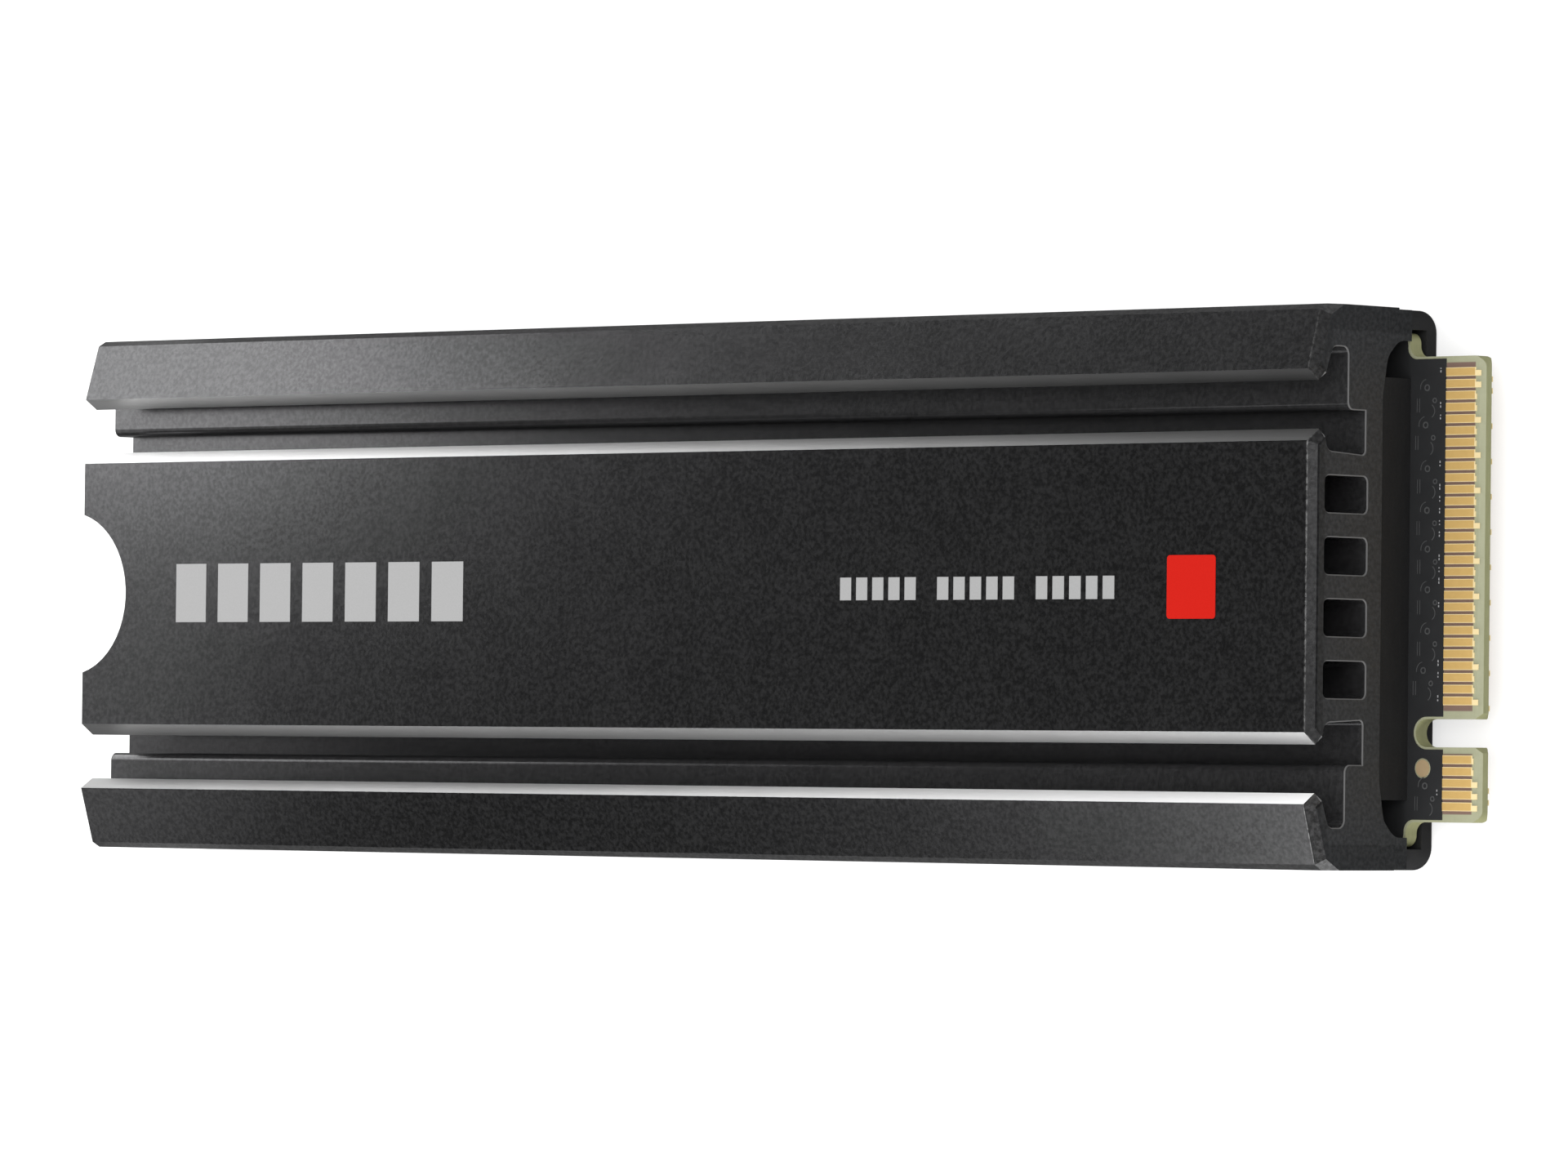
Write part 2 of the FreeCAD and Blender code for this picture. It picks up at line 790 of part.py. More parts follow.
def draw_board(body, low_z, thick, end_x, margin, hole_radius):
    """The board's plan with its tongue, its key notch and the half-round screw notch."""
    plan = new_sketch(body, "plan", "XY_Plane", low_z)
    half = f"board_half - {margin}"
    tongue = f"tongue_half - {margin}"
    shoulder = f"shoulder_x - {margin}"
    far = f"far_x + {margin}"
    draw_outline(plan, [
        (far, f"- board_half + {margin}"),
        (shoulder, f"- board_half + {margin}"),
        (shoulder, f"- tongue_half + {margin}"),
        (end_x, f"- tongue_half + {margin}"),
        (end_x, tongue),
        (shoulder, tongue),
        (shoulder, half),
        (far, half),
    ])
    pad(body, plan, thick)
    dress(body, "Fillet", "shoulder_round", stands_at((shoulder, half), (shoulder, tongue)))
    cut_key_notch(body, low_z, margin)
    notch = new_sketch(body, "screw_notch", "XY_Plane", low_z)
    draw_circle(notch, "far_x", "0", hole_radius)
    pocket(body, notch, upward=True)


def make_board():
    body = new_body("circuit_board")
    draw_board(body, "laminate_low_z", "laminate_thick", "connector_x", "0", "screw_notch_radius")
    dress(body, "Fillet", "tongue_round", stands_at(
        ("connector_x", "tongue_half"),
        ("far_x", "board_half"),
    ))
    mouth = [("connector_x", "key_y - key_half"), ("connector_x", "key_y + key_half")]
    dress(body, "Chamfer", "key_mouth", stands_at(*mouth))

    bevels = new_sketch(body, "edge_bevels", "XZ_Plane")
    top = "laminate_low_z + laminate_thick"
    for surface, inward in ((top, "-"), ("laminate_low_z", "+")):
        outward = "+" if inward == "-" else "-"
        draw_outline(bevels, [
            ("connector_x - bevel", surface),
            ("connector_x", f"{surface} {inward} bevel"),
            ("connector_x + bevel", f"{surface} {inward} bevel"),
            ("connector_x + bevel", f"{surface} {outward} bevel"),
            ("connector_x - bevel", f"{surface} {outward} bevel"),
        ])
    pocket(body, bevels, symmetric=True)


def make_masks():
    for label, low_z in (("front_solder_mask", "plating_low_z"), ("rear_solder_mask", "board_base_z")):
        body = new_body(label)
        ring = "screw_ring_radius + opening_margin"
        draw_board(body, low_z, "mask_thick", "mask_end_x", "mask_margin", ring)
        if label == "front_solder_mask":
            openings = new_sketch(body, "openings", "XY_Plane", low_z)
            draw_circle(openings, "probe_x", "probe_y", "probe_radius + opening_margin")
            draw_circle(openings, "marker_x", "marker_y", "probe_radius + opening_margin")
            draw_circle(openings, "marker_x", "- marker_y", "probe_radius + opening_margin")
            pocket(body, openings, upward=True)


def contact_face(start_x, end_x, middle_y, stub_x, low_z):
    """One contact's outline: a plain finger with a narrow stub at its tip."""
    half = sheet.contact_width / 2
    low_y = middle_y - half
    high_y = middle_y + half
    stub_y = low_y + sheet.contact_stub_width
    outline = [
        (start_x, low_y),
        (stub_x, low_y),
        (stub_x, stub_y),
        (end_x, stub_y),
        (end_x, high_y),
        (start_x, high_y),
        (start_x, low_y),
    ]
    wire = Part.makePolygon([FreeCAD.Vector(x, y, low_z) for x, y in outline])
    return Part.Face(wire)


def make_contacts():
    """Two rows of gold fingers, each split in two by the key notch."""
    top_z = sheet.laminate_low_z + sheet.laminate_thick
    rows = (
        ("front_edge_contacts", sheet.front_first_y, top_z,
         FRONT_UPPER_CONTACTS, FRONT_LOWER_CONTACTS, FRONT_LOWER_START),
        ("rear_edge_contacts", sheet.rear_first_y, sheet.laminate_low_z - sheet.contact_thick,
         REAR_UPPER_CONTACTS, REAR_LOWER_CONTACTS, REAR_LOWER_START),
    )
    for label, first_y, low_z, upper, lower, lower_start in rows:
        places = [(step, step + 1 in STUBBED_UPPER) for step in range(upper)]
        places += [(lower_start + step, step + 1 in STUBBED_LOWER) for step in range(lower)]
        fingers = []
        for step, stubbed in places:
            middle_y = first_y - step * sheet.contact_pitch
            stub_x = sheet.contact_stub_end_x if stubbed else sheet.contact_nub_end_x
            face = contact_face(sheet.mask_end_x, sheet.contact_end_x, middle_y, stub_x, low_z)
            fingers.append(face.extrude(FreeCAD.Vector(0, 0, sheet.contact_thick)))
        feature = doc.addObject("Part::Feature", label)
        feature.Shape = Part.makeCompound(fingers)
        feature.Placement = FreeCAD.Placement()
        keep(feature, label)


def make_plating():
    """The ground rings round the screw notch and the bare round pads."""
    rings = []
    for side, low_z in (("front", "plating_low_z"), ("rear", "board_base_z")):
        outer = disc(f"{side}_ring_outer", "far_x", "0", low_z, "screw_ring_radius", "mask_thick")
        inner = disc(f"{side}_ring_inner", "far_x", "0", low_z, "screw_notch_radius", "mask_thick")
        for cylinder in (outer, inner):
            cylinder.Angle = 180
            cylinder.Placement.Rotation = FreeCAD.Rotation(FreeCAD.Vector(0, 0, 1), -90)
        rings.append(cut(f"{side}_ring", outer, inner))
    group("screw_ground_rings", rings)

    places = (("probe_x", "probe_y"), ("marker_x", "marker_y"), ("marker_x", "- marker_y"))
    group("round_probe_pads", [
        disc(f"probe_{index}", x, y, "plating_low_z", "probe_radius", "mask_thick")
        for index, (x, y) in enumerate(places)
    ])


# ---------------------------------------------------------------- chips


def chip(label, middle_x, middle_y, length, width, low_z, high_z):
    """A moulded package with a shallow round mark in its first-pin corner."""
    package = block(f"{label}_block", middle_x, middle_y, low_z, length, width, f"{high_z} - ( {low_z} )")
    mark = disc(
        f"{label}_mark",
        f"{middle_x} + ( {length} ) / 2 - pin_mark_inset",
        f"{middle_y} - ( {width} ) / 2 + pin_mark_inset",
        f"{high_z} - pin_mark_depth",
        "pin_mark_radius",
        "pin_mark_depth",
    )
    return keep(cut(label, package, mark), label)


def ball_grid(label, middle_x, pitch, columns, rows, filled):
    """A grid of solder joints under a package, as separate short posts."""
    height = sheet.ball_height
    posts = []
    for column in range(columns):
        for row in range(rows):
            if not filled(column, row):
                continue
            x = middle_x + (column - (columns - 1) / 2) * pitch
            y = (row - (rows - 1) / 2) * pitch
            base = FreeCAD.Vector(x, y, sheet.board_top_z)
            posts.append(Part.makeCylinder(sheet.ball_radius, height, base))
    feature = doc.addObject("Part::Feature", label)
    feature.Shape = Part.makeCompound(posts)
    feature.Placement = FreeCAD.Placement()
    keep(feature, label)


def make_chips():
    package_low = "board_top_z + ball_height"
    chip("memory_package", "memory_x", "0", "memory_length", "memory_width", package_low, "memory_top_z")
    for name in ("near_flash", "far_flash"):
        chip(f"{name}_package", f"{name}_x", "0", "flash_length", "flash_width", package_low, "flash_top_z")

    keep(
        block(
            "controller_block",
            "controller_x",
            "0",
            package_low,
            "controller_length",
            "controller_width",
            "controller_base_thick",
        ),
        "controller_base",
    )
    lid_low = "board_top_z + ball_height + controller_base_thick"
    chip(
        "controller_lid",
        "controller_x",
        "0",
        "controller_length - 2 * controller_lid_inset",
        "controller_width - 2 * controller_lid_inset",
        lid_low,
        "controller_lid_z",
    )

    ring_depth = 4
    columns, rows = 17, 15

    def outer_rings(column, row):
        return min(column, row, columns - 1 - column, rows - 1 - row) < ring_depth

    ball_grid("controller_solder_balls", sheet.controller_x, sheet.ball_pitch, columns, rows, outer_rings)
    ball_grid(
        "memory_solder_balls", sheet.memory_x, sheet.ball_pitch, 11, 17,
        lambda column, row: column not in (4, 5, 6),
    )
    for name in ("near_flash", "far_flash"):
        ball_grid(
            f"{name}_solder_balls", getattr(sheet, f"{name}_x"), sheet.flash_ball_pitch, 12, 16,
            lambda column, row: column not in (5, 6) and row not in (7, 8),
        )


# ---------------------------------------------------------------- small parts


def two_ended(label, count, place, along_y, size):
    """A row of chip components, their bodies in one sub-part and their end caps in another."""
    length, width, height, end = (f"{size}_{word}" for word in ("length", "width", "height", "end"))
    bodies = []
    caps = []
    for index in range(count):
        x, y = place(index)
        inner = f"{length} - 2 * {end}"
        shift = f"( {length} - {end} ) / 2"
        if along_y:
            bodies.append(block(f"{label}_{index}", x, y, "board_top_z", width, inner, height))
        else:
            bodies.append(block(f"{label}_{index}", x, y, "board_top_z", inner, width, height))
        for way in "+-":
            name = f"{label}_cap_{index}"
            if along_y:
                caps.append(block(name, x, f"{y} {way} {shift}", "board_top_z", width, end, height))
            else:
                caps.append(block(name, f"{x} {way} {shift}", y, "board_top_z", end, width, height))
    group(f"{label}_bodies", bodies)
    group(f"{label}_terminals", caps)


def line_of(x, first_y, pitch):
    """Places in a row across the board."""
    return lambda index: (x, f"{first_y} + {index} * {pitch}")


def make_small_parts():
    two_ended("bulk_capacitor", 6, line_of("bulk_x", "bulk_first_y", "bulk_pitch"), False, "bulk")
    ceramic_lines = ("controller_gap_x", "memory_gap_x", "flash_gap_near_x")
    per_line = 8
    two_ended(
        "ceramic_capacitor",
        per_line * len(ceramic_lines),
        lambda index: line_of(ceramic_lines[index // per_line], "ceramic_first_y", "ceramic_pitch")(
            index % per_line
        ),
        True,
        "ceramic",
    )
    resistors = line_of("flash_gap_far_x", "ceramic_first_y", "ceramic_pitch")
    two_ended("resistor", per_line, resistors, True, "resistor")
    coupling = line_of("coupling_x", "coupling_first_y", "coupling_pitch")
    two_ended("coupling_capacitor", 12, coupling, False, "coupling")


def make_power_parts():
    chip(
        "power_chip",
        "power_chip_x",
        "power_chip_y",
        "power_chip_side",
        "power_chip_side",
        "board_top_z + lead_thick",
        "board_top_z + power_chip_height",
    )
    leads = []
    per_side = 6
    for index in range(per_side):
        offset = f"( {index} - {per_side - 1} / 2 ) * lead_pitch"
        reach = "( power_chip_side - lead_length ) / 2"
        for way in "+-":
            leads.append(block(
                f"lead_{index}",
                f"power_chip_x + {offset}",
                f"power_chip_y {way} {reach}",
                "board_top_z",
                "lead_width",
                "lead_length",
                "lead_thick",
            ))
    group("power_chip_leads", leads)

    two_ended(
        "power_inductor",
        3,
        lambda index: ("inductor_x", f"inductor_first_y - {index} * inductor_pitch"),
        False,
        "inductor",
    )
    group("regulator_chips", [
        block(
            f"regulator_{index}",
            "regulator_x",
            f"regulator_first_y + {index} * regulator_pitch",
            "board_top_z",
            "regulator_side",
            "regulator_side",
            "regulator_height",
        )
        for index in range(2)
    ])


def make_crystal_and_sensor():
    keep(
        block(
            "crystal_block",
            "crystal_x",
            "crystal_y",
            "board_top_z",
            "crystal_length",
            "crystal_width",
            "crystal_base_thick",
        ),
        "crystal_base",
    )
    keep(
        block(
            "crystal_cap",
            "crystal_x",
            "crystal_y",
            "board_top_z + crystal_base_thick",
            "crystal_length - 2 * crystal_lid_inset",
            "crystal_width - 2 * crystal_lid_inset",
            "crystal_lid_thick",
        ),
        "crystal_lid",
    )
    keep(
        block(
            "sensor_block",
            "sensor_x",
            "sensor_y",
            "board_top_z",
            "sensor_length",
            "sensor_width",
            "sensor_height",
        ),
        "temperature_sensor",
    )


# ---------------------------------------------------------------- printed marks


def ink_row(label, places, length, half):
    """A row of flat ink rectangles, each starting at its own place along X."""
    width = f"2 * {half}"
    group(label, [
        block(f"{label}_{index}", f"{start} + {length} / 2", "0", "crest_z", length, width, "ink_thick")
        for index, start in enumerate(places)
    ])


def make_prints():
    """Plain ink shapes: a row of upright bars, three runs of dashes and a small square."""
    bars = [f"bar_first_x + {index} * bar_pitch" for index in range(BAR_COUNT)]
    ink_row("printed_bars", bars, "bar_length", "bar_half")
    dashes = [
        f"dash_first_x + {run * DASHES_PER_RUN + index} * dash_pitch + {run} * dash_gap"
        for run in range(DASH_RUNS)
        for index in range(DASHES_PER_RUN)
    ]
    ink_row("printed_dashes", dashes, "dash_length", "dash_half")
    body = new_body("printed_square")
    plan = new_sketch(body, "plan", "XY_Plane", "crest_z")
    draw_rectangle(plan, "square_far_x", "square_near_x", "- square_half", "square_half")
    pad(body, plan, "ink_thick")
    dress(body, "Fillet", "square_round", lambda edge: spans(edge)[2] > CLOSE)


# ---------------------------------------------------------------- build and write


def check_document():
    doc.recompute()
    for item in doc.Objects:
        for state in item.State:
            if state in ("Invalid", "Error"):
                raise RuntimeError(f"{item.Label} is {state}")
    for item in nodes:
        if item.Shape.isNull() or not item.Shape.isValid():
            raise RuntimeError(f"{item.Label} has no valid shape")


def write_steps():
    os.makedirs("parts", exist_ok=True)
    for item in nodes:
        item.Shape.exportStep(f"parts/{item.Label}.step")
        print(f"{item.Label}: {len(item.Shape.Solids)} solids, {item.Shape.Volume:.3f} mm3")


make_heatsink()
make_cover()
make_label()
make_thermal_pads()
make_board()
make_masks()
make_contacts()
make_plating()
make_chips()
make_power_parts()
make_small_parts()
make_crystal_and_sensor()
make_prints()
check_document()
write_steps()
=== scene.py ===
import json
import math
import random

import bmesh
import bpy
from mathutils import Matrix, Vector


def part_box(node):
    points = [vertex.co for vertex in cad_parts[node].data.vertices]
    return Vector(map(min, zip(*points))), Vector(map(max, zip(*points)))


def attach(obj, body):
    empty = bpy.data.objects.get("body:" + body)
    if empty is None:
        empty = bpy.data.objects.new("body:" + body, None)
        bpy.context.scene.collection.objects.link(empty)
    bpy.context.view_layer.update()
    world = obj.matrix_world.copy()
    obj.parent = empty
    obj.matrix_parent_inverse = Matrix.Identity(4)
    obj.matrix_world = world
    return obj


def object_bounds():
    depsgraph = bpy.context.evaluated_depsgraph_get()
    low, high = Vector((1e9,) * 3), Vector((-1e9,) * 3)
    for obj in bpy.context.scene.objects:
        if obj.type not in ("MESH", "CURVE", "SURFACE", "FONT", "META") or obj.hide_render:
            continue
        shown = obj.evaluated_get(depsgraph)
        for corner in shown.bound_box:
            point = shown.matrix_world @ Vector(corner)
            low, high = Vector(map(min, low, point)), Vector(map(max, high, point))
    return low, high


# The looks of a black solid state drive with a grooved heatsink, on a pale floor.
# Metres. X runs along the drive towards its edge connector, Z is up out of the heatsink.

MM = 0.001
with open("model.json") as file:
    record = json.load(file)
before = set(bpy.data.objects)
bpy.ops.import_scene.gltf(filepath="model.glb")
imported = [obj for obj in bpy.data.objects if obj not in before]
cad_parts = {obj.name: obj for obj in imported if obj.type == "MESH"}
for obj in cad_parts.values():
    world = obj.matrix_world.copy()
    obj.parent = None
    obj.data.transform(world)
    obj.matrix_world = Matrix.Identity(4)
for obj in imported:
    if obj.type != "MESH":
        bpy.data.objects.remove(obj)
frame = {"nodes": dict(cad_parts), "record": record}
cad_low, cad_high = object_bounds()
random.seed(41)

heatsink_low, heatsink_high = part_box("top_heatsink")
mask_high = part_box("front_solder_mask")[1]
contacts_low, contacts_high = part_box("front_edge_contacts")
rear_contacts_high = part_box("rear_edge_contacts")[1]
label_low, label_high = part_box("rear_label")

# Sizes that the edge connector's standard gives, and the length of the plating stubs at the contacts' tips.
CONTACT_PITCH = 0.5 * MM
CONTACT_WIDTH = 0.37 * MM
KEY_CENTRE_Y = -6.125 * MM
STUB_LENGTH = 0.28 * MM

crest_z = heatsink_high.z
contact_tip_x = contacts_high.x - STUB_LENGTH


def grey(shade):
    return (shade, shade, shade)


# ---------------------------------------------------------------- material helpers


class Finish:
    """A material under construction: its Principled shader and shortcuts for the nodes that feed it."""

    def __init__(self, name, color, roughness, metallic=0.0, ior=1.5):
        self.material = bpy.data.materials.new(name)
        self.material.use_nodes = True
        self.nodes = self.material.node_tree.nodes
        self.links = self.material.node_tree.links
        self.shader = self.nodes["Principled BSDF"]
        self.use("Base Color", (*color, 1.0))
        self.use("Roughness", roughness)
        self.use("Metallic", metallic)
        self.use("IOR", ior)
        self.place = self.nodes.new("ShaderNodeTexCoord").outputs["Object"]

    def set(self, node, name, value):
        """A plain value goes on the socket itself, and another node's output is linked to it."""
        if isinstance(value, bpy.types.NodeSocket):
            self.links.new(value, node.inputs[name])
        else:
            node.inputs[name].default_value = value

    def use(self, name, value):
        self.set(self.shader, name, value)

    def math(self, operation, *values, clamp=False):
        node = self.nodes.new("ShaderNodeMath")
        node.operation = operation
        node.use_clamp = clamp
        for index, value in enumerate(values):
            self.set(node, index, value)
        return node.outputs[0]

    def times(self, first, second):
        return self.math("MULTIPLY", first, second)

    def larger(self, first, second):
        return self.math("MAXIMUM", first, second)

    def inverse(self, mask):
        return self.math("SUBTRACT", 1.0, mask)

    def without(self, mask, other):
        """The first mask less the second, never below 0."""
        return self.math("SUBTRACT", mask, other, clamp=True)

    def between_values(self, amount, first, second):
        """The first number where amount is 0, and the second where it is 1."""
        return self.math("MULTIPLY_ADD", amount, self.math("SUBTRACT", second, first), first)

    def axis(self, name, source=None):
        node = self.nodes.new("ShaderNodeSeparateXYZ")
        self.links.new(source or self.place, node.inputs[0])
        return node.outputs[name]

    def geometry(self, output):
        return self.nodes.new("ShaderNodeNewGeometry").outputs[output]

    def stretch(self, x, y, z):
        """The object's own coordinates scaled along each axis, for grain that has a direction."""
        node = self.nodes.new("ShaderNodeMapping")
        self.links.new(self.place, node.inputs["Vector"])
        node.inputs["Scale"].default_value = (x, y, z)
        return node.outputs["Vector"]

    def noise(self, size, detail=2.0, roughness=0.5, source=None):
        """Noise whose features are about size metres across."""
        node = self.nodes.new("ShaderNodeTexNoise")
        self.links.new(source or self.place, node.inputs["Vector"])
        node.inputs["Scale"].default_value = 1.0 / size
        node.inputs["Detail"].default_value = detail
        node.inputs["Roughness"].default_value = roughness
        return node.outputs["Fac"]

    def cells(self, size):
        node = self.nodes.new("ShaderNodeTexVoronoi")
        self.links.new(self.place, node.inputs["Vector"])
        node.inputs["Scale"].default_value = 1.0 / size
        return node.outputs["Distance"]

    def spread(self, value, low, high, out_low, out_high):
        """Maps a value's range onto another, and holds it at the ends."""
        node = self.nodes.new("ShaderNodeMapRange")
        numbers = {"Value": value, "From Min": low, "From Max": high, "To Min": out_low, "To Max": out_high}
        for name, number in numbers.items():
            self.set(node, name, number)
        return node.outputs["Result"]

    def above(self, value, low, high):
        """0 below the lower limit, rising to 1 at the higher one."""
        return self.spread(value, low, high, 0.0, 1.0)

    def below(self, value, low, high):
        return self.spread(value, low, high, 1.0, 0.0)

    def between(self, value, low, high, soft):
        """1 where a value lies between two limits, 0 outside, with soft borders."""
        rise = self.above(value, low - soft, low + soft)
        fall = self.below(value, high - soft, high + soft)
        return self.times(rise, fall)

    def contrast(self, noise, out_low, out_high):
        """Maps the middle range of a noise, where most of it lies, onto two numbers."""
        return self.spread(noise, 0.3, 0.7, out_low, out_high)

    def blend(self, amount, first, second):
        """The first colour where amount is 0, and the second where it is 1."""
        node = self.nodes.new("ShaderNodeMix")
        node.data_type = "RGBA"
        self.set(node, "Factor", amount)
        color_inputs = [socket for socket in node.inputs if socket.type == "RGBA"]
        for socket, color in zip(color_inputs, (first, second)):
            if isinstance(color, bpy.types.NodeSocket):
                self.links.new(color, socket)
            else:
                socket.default_value = (*color, 1.0)
        return next(socket for socket in node.outputs if socket.type == "RGBA")

    def scale_color(self, color, amount):
        node = self.nodes.new("ShaderNodeVectorMath")
        node.operation = "SCALE"
        self.links.new(color, node.inputs[0])
        self.links.new(amount, node.inputs["Scale"])
        return node.outputs[0]

    def bump(self, height, strength, depth):
        """Relief: depth is its full height in metres. A second bump adds to the first."""
        node = self.nodes.new("ShaderNodeBump")
        node.inputs["Strength"].default_value = strength
        node.inputs["Distance"].default_value = depth
        self.links.new(height, node.inputs["Height"])
        normal = self.shader.inputs["Normal"]
        if normal.is_linked:
            self.links.new(normal.links[0].from_socket, node.inputs["Normal"])
        self.links.new(node.outputs["Normal"], normal)


# ---------------------------------------------------------------- heatsink

# How far the zones of the heatsink's surface lie from its middle line, or below its crest.
RAIL_START_Y = 7.5 * MM
OUTER_CHAMFER_Y = 10.4 * MM
RAIL_INNER_Y = 9.9 * MM
RAIL_OUTER_Y = 10.9 * MM
CHAMFER_DEPTH = 0.8 * MM
GROOVE_RIM_DEPTH = 0.75 * MM
RAIL_END_DEPTH = 1.13 * MM
END_SLOPE_LENGTH = 0.40 * MM
RIM_WIDTH = 0.07 * MM
EDGE = 0.05 * MM


def chamfer_mask(finish, normal, off_centre, height):
    """The long chamfers beside the grooves, known by how they lean and how high they are."""
    leaning = finish.between(finish.math("ABSOLUTE", finish.axis("Y", normal)), 0.74, 0.90, 0.03)
    upward = finish.above(finish.axis("Z", normal), 0.40, 0.46)
    high = finish.above(height, crest_z - CHAMFER_DEPTH - 2 * EDGE, crest_z - CHAMFER_DEPTH)
    inner = finish.below(off_centre, OUTER_CHAMFER_Y, OUTER_CHAMFER_Y + 4 * EDGE)
    return finish.times(finish.times(finish.times(leaning, upward), high), inner)


def groove_mask(finish, below_rim, off_centre, height):
    """Inside the grooves and tunnels, but not on the rails' own ends."""
    within_rails = finish.below(off_centre, RAIL_OUTER_Y, RAIL_OUTER_Y + EDGE)
    on_rail_end = finish.above(off_centre, RAIL_INNER_Y, RAIL_INNER_Y + EDGE)
    near_crest = finish.above(height, crest_z - RAIL_END_DEPTH - EDGE, crest_z - RAIL_END_DEPTH)
    return finish.without(finish.times(below_rim, within_rails), finish.times(on_rail_end, near_crest))


def anodised_aluminium():
    """Black anodised metal: a fine blasted grain, cut chamfers along the grooves with a painted highlight along
    them, broken edges in the grooves, and painted highlights on the sloped end faces and along the edge where
    the top meets them.
    """
    finish = Finish("anodised_aluminium", grey(0.09), 0.25, metallic=0.92, ior=1.8)
    finish.use("Specular Tint", (*grey(0.6), 1.0))
    normal = finish.geometry("True Normal")
    lengthwise = finish.math("ABSOLUTE", finish.axis("X", normal))
    along, across, height = (finish.axis(name) for name in "XYZ")
    off_centre = finish.math("ABSOLUTE", across)
    upper_side = finish.above(across, -MM, MM)
    on_rail = finish.above(off_centre, RAIL_START_Y, RAIL_START_Y + 2 * EDGE)
    lower_rail = finish.times(on_rail, finish.inverse(upper_side))

    # The long chamfers were cut after blasting, so they are bare and smooth. The sawn end is rougher, and
    # the edges of its holes and grooves are broken.
    chamfer = chamfer_mask(finish, normal, off_centre, height)
    end_face = finish.above(lengthwise, 0.90, 0.98)
    slope = finish.between(lengthwise, 0.45, 0.88, 0.02)
    below_rim = finish.below(height, crest_z - GROOVE_RIM_DEPTH - EDGE, crest_z - GROOVE_RIM_DEPTH)
    in_groove = groove_mask(finish, below_rim, off_centre, height)
    broken_edge = finish.times(slope, in_groove)

    grain = finish.noise(0.19 * MM, roughness=0.6)
    grain_range = (0.36, 0.64)
    cloud = finish.noise(3.0 * MM, detail=3.0)
    finish.bump(finish.times(grain, finish.inverse(chamfer)), 1.0, 0.0011 * MM)

    rough = finish.spread(cloud, 0.35, 0.65, 0.238, 0.250)
    rough = finish.math("MULTIPLY_ADD", chamfer, 0.12, rough)
    rough = finish.math("MULTIPLY_ADD", finish.larger(end_face, broken_edge), 0.40, rough)
    finish.use("Roughness", rough)

    # Painted highlight along the chamfers: their colour is brightest at the far end on the upper side and at the
    # near end on the lower, and dimmer on the upper rail.
    upper_chamfer_highlight = finish.spread(along, heatsink_low.x, heatsink_high.x, 0.92, 0.29)
    upper_chamfer_highlight = finish.times(upper_chamfer_highlight, finish.math("MULTIPLY_ADD", on_rail, -0.42, 1.0))
    rising = finish.spread(along, heatsink_low.x, heatsink_high.x, 0.45, 0.95)
    chamfer_tint_and_highlight = finish.between_values(upper_side, rising, upper_chamfer_highlight)

    # A painted highlight brightens the edge where the top meets the sloped end, broken up by the grain.
    rim_x = heatsink_high.x - END_SLOPE_LENGTH
    rim_highlight = finish.between(along, rim_x, rim_x + RIM_WIDTH, 0.01 * MM)
    rim_highlight = finish.times(rim_highlight, finish.spread(grain, 0.35, 0.55, 0.2, 1.0))
    rim_highlight = finish.without(rim_highlight, below_rim)

    tint = finish.blend(cloud, (0.086, 0.086, 0.088), (0.098, 0.098, 0.100))
    tint = finish.blend(end_face, tint, (0.080, 0.083, 0.088))
    # The sloped end faces are painted paler as a painted highlight, and the lower rail's much paler again.
    tint = finish.blend(slope, tint, finish.blend(lower_rail, (0.135, 0.135, 0.137), (0.300, 0.300, 0.303)))
    # The painted highlight on that edge is paler on the core than on the rails.
    tint = finish.blend(rim_highlight, tint, finish.blend(on_rail, grey(0.42), grey(0.22)))
    tint = finish.scale_color(tint, finish.spread(grain, *grain_range, 0.86, 1.14))
    # The broken edges in the grooves carry no metal, so their grey shows as diffuse light: a painted highlight
    # along them.
    tint = finish.blend(broken_edge, tint, grey(0.095))
    # The chamfers take their metal colour with the painted highlight along it.
    finish.use("Base Color", finish.blend(chamfer, tint, chamfer_tint_and_highlight))

    paler = finish.larger(in_groove, finish.times(end_face, 0.60))
    metal = finish.math("MULTIPLY_ADD", paler, -0.17, finish.spread(grain, *grain_range, 0.948, 0.892))
    # No metal on the broken edges, for their painted highlight.
    metal = finish.without(metal, broken_edge)

    # A painted highlight on two of the chamfers, the lower rail's near half and the core's upper far half: less
    # metal there lets their bright colour show as diffuse light.
    rail_highlight = finish.spread(along, -8 * MM, heatsink_high.x, 0.03, 0.62)
    rail_highlight = finish.times(rail_highlight, on_rail)
    core_highlight = finish.spread(along, heatsink_low.x, 5 * MM, 0.30, 0.05)
    core_highlight = finish.times(core_highlight, finish.inverse(on_rail))
    highlight_share = finish.between_values(upper_side, rail_highlight, core_highlight)
    # The chamfers' metal, lowered under the painted highlight.
    satin = finish.math("SUBTRACT", 0.95, highlight_share)
    finish.use("Metallic", finish.between_values(chamfer, metal, satin))
    return finish.material


# ---------------------------------------------------------------- other materials


def coated_cover():
    """Smooth black coating with a faint orange-peel and a few fine scuffs."""
    finish = Finish("coated_cover", (0.016, 0.016, 0.017), 0.42)
    peel = finish.noise(0.5 * MM)
    scuff = finish.noise(0.3 * MM, detail=4.0, source=finish.stretch(0.12, 1.0, 1.0))
    finish.bump(peel, 0.12, 0.01 * MM)
    finish.use("Roughness", finish.contrast(scuff, 0.36, 0.47))
    finish.use("Base Color", finish.blend(scuff, (0.017, 0.017, 0.0175), (0.024, 0.024, 0.0245)))
    return finish.material


